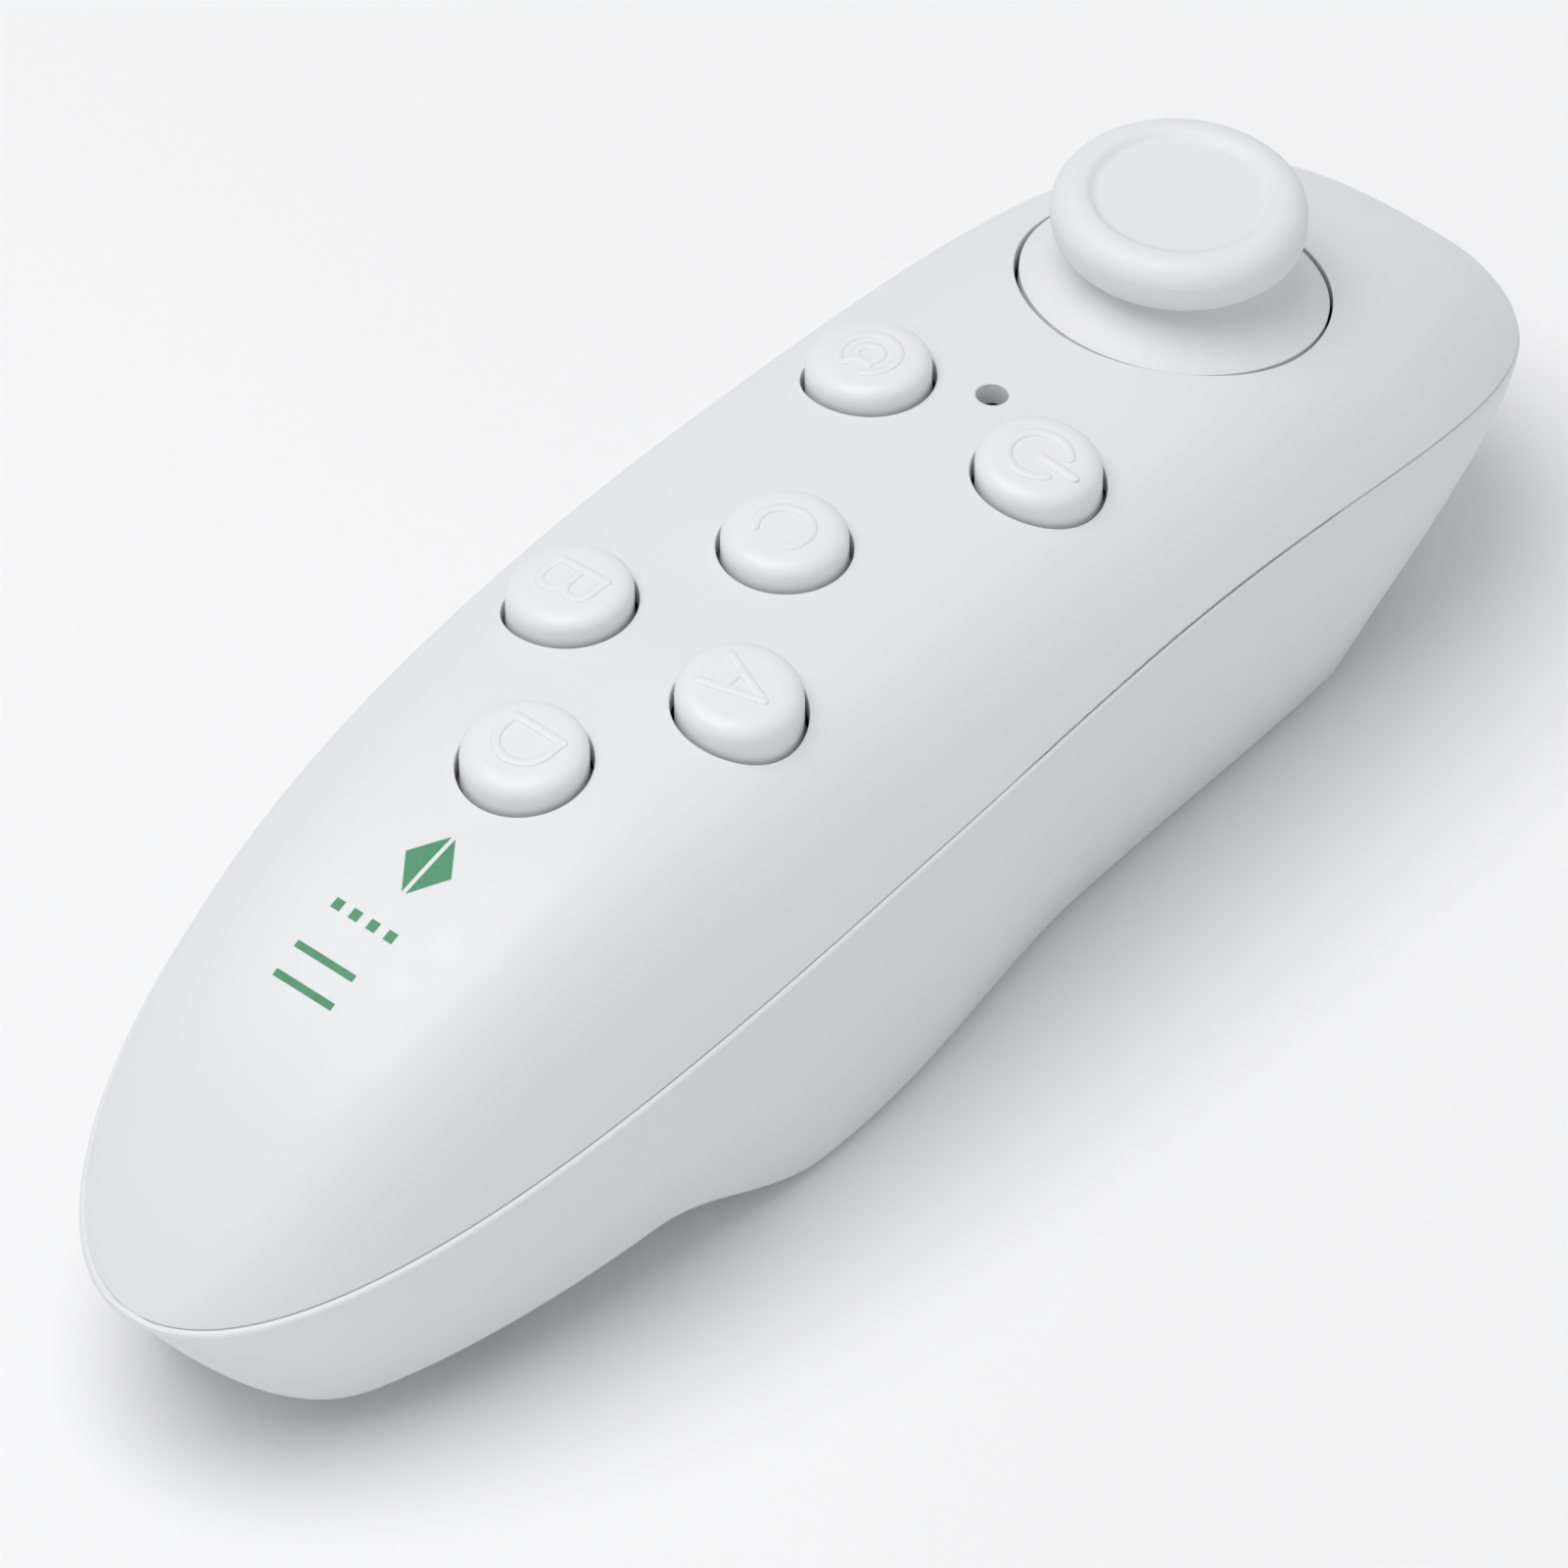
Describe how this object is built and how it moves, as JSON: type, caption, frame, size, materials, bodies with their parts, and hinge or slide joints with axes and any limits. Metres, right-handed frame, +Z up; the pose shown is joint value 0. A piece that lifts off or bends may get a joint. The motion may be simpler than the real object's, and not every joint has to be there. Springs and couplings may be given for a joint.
{
  "type": "vr motion controller",
  "caption": "One-handed VR motion controller with a thumbstick at the nose, round keys on top, trigger keys under the nose and a battery bay in the belly.",
  "frame": {"origin": "on the ground under the middle of the length, where the flat belly rests", "axes": "+X towards the nose with the thumbstick, +Y to the holder's left, +Z up out of the keys"},
  "size_m": [0.1265, 0.0374, 0.0375],
  "materials": {
    "shell_white": "satin moulded ABS, very light cool grey",
    "key_white": "satin moulded ABS",
    "stick_white": "soft matte moulded plastic",
    "dark_plastic": "black moulded nylon",
    "plated_steel": "nickel plated steel",
    "board_green": "green solder mask on glass fibre",
    "clear_plastic": "clear polycarbonate",
    "cell_sleeve": "printed cell sleeve, plain blue",
    "red_insulation": "PVC lead insulation",
    "black_insulation": "PVC lead insulation"
  },
  "bodies": {
    "handset": {"battery_left": "cell_sleeve", "battery_right": "cell_sleeve", "bluetooth_chip": "dark_plastic", "board_screw_1": "plated_steel", "board_screw_2": "plated_steel", "bottom_shell": "shell_white", "case_screw_1": "plated_steel", "case_screw_2": "plated_steel", "case_screw_3": "plated_steel", "contact_bridge": "plated_steel", "contact_negative": "plated_steel", "contact_positive": "plated_steel", "crystal": "plated_steel", "lead_black": "black_insulation", "lead_red": "red_insulation", "light_pipe": "clear_plastic", "main_board": "board_green", "mode_switch": "dark_plastic", "pot_pitch": "dark_plastic", "pot_roll": "dark_plastic", "status_led": "clear_plastic", "stick_housing": "dark_plastic", "switch_a": "dark_plastic", "switch_b": "dark_plastic", "switch_c": "dark_plastic", "switch_d": "dark_plastic", "switch_menu": "dark_plastic", "switch_power": "dark_plastic", "switch_trigger_lower": "dark_plastic", "switch_trigger_upper": "dark_plastic", "top_shell": "shell_white", "trigger_board": "board_green"},
    "stick_frame": {"stick_gimbal": "dark_plastic"},
    "stick": {"stick_cap": "stick_white", "stick_shaft": "plated_steel", "stick_spring": "plated_steel"},
    "button_d": {"button_d": "key_white", "plunger_d": "key_white"},
    "button_a": {"button_a": "key_white", "plunger_a": "key_white"},
    "button_b": {"button_b": "key_white", "plunger_b": "key_white"},
    "button_c": {"button_c": "key_white", "plunger_c": "key_white"},
    "button_menu": {"button_menu": "key_white", "plunger_menu": "key_white"},
    "button_power": {"button_power": "key_white", "plunger_power": "key_white"},
    "trigger_lower": {"trigger_lower": "key_white", "plunger_trigger_lower": "key_white"},
    "trigger_upper": {"trigger_upper": "key_white", "plunger_trigger_upper": "key_white"},
    "mode_slider": {"mode_slider": "dark_plastic"},
    "battery_cover": {"battery_cover": "shell_white"}
  },
  "joints": [
    {"name": "stick_pitch", "type": "hinge", "parent": "handset", "child": "stick_frame", "pos_m": [0.0349, 0, 0.0291], "axis": [0, 1, 0], "range_deg": [-12, 12], "stiffness_Nm_per_rad": 0.02},
    {"name": "stick_roll", "type": "hinge", "parent": "stick_frame", "child": "stick", "pos_m": [0.0349, 0, 0.0291], "axis": [1, 0, 0], "range_deg": [-12, 12], "stiffness_Nm_per_rad": 0.02},
    {"name": "press_d", "type": "slide", "parent": "handset", "child": "button_d", "axis": [0, 0, -1], "range_m": [0, 0.0006], "stiffness_N_per_m": 1500},
    {"name": "press_a", "type": "slide", "parent": "handset", "child": "button_a", "axis": [0, 0, -1], "range_m": [0, 0.0006], "stiffness_N_per_m": 1500},
    {"name": "press_b", "type": "slide", "parent": "handset", "child": "button_b", "axis": [0, 0, -1], "range_m": [0, 0.0006], "stiffness_N_per_m": 1500},
    {"name": "press_c", "type": "slide", "parent": "handset", "child": "button_c", "axis": [0, 0, -1], "range_m": [0, 0.0006], "stiffness_N_per_m": 1500},
    {"name": "press_menu", "type": "slide", "parent": "handset", "child": "button_menu", "axis": [0, 0, -1], "range_m": [0, 0.0006], "stiffness_N_per_m": 1500},
    {"name": "press_power", "type": "slide", "parent": "handset", "child": "button_power", "axis": [0, 0, -1], "range_m": [0, 0.0006], "stiffness_N_per_m": 1500},
    {"name": "press_trigger_lower", "type": "slide", "parent": "handset", "child": "trigger_lower", "axis": [-0.3746, 0, 0.9272], "range_m": [0, 0.0006], "stiffness_N_per_m": 1500},
    {"name": "press_trigger_upper", "type": "slide", "parent": "handset", "child": "trigger_upper", "axis": [-0.3746, 0, 0.9272], "range_m": [0, 0.0006], "stiffness_N_per_m": 1500},
    {"name": "mode_select", "type": "slide", "parent": "handset", "child": "mode_slider", "axis": [1, 0, 0], "range_m": [0, 0.004], "stiffness_N_per_m": 40},
    {"name": "cover_lift_off", "type": "slide", "parent": "handset", "child": "battery_cover", "axis": [0, 0, -1], "range_m": [0, 0.025], "stiffness_N_per_m": 200}
  ]
}
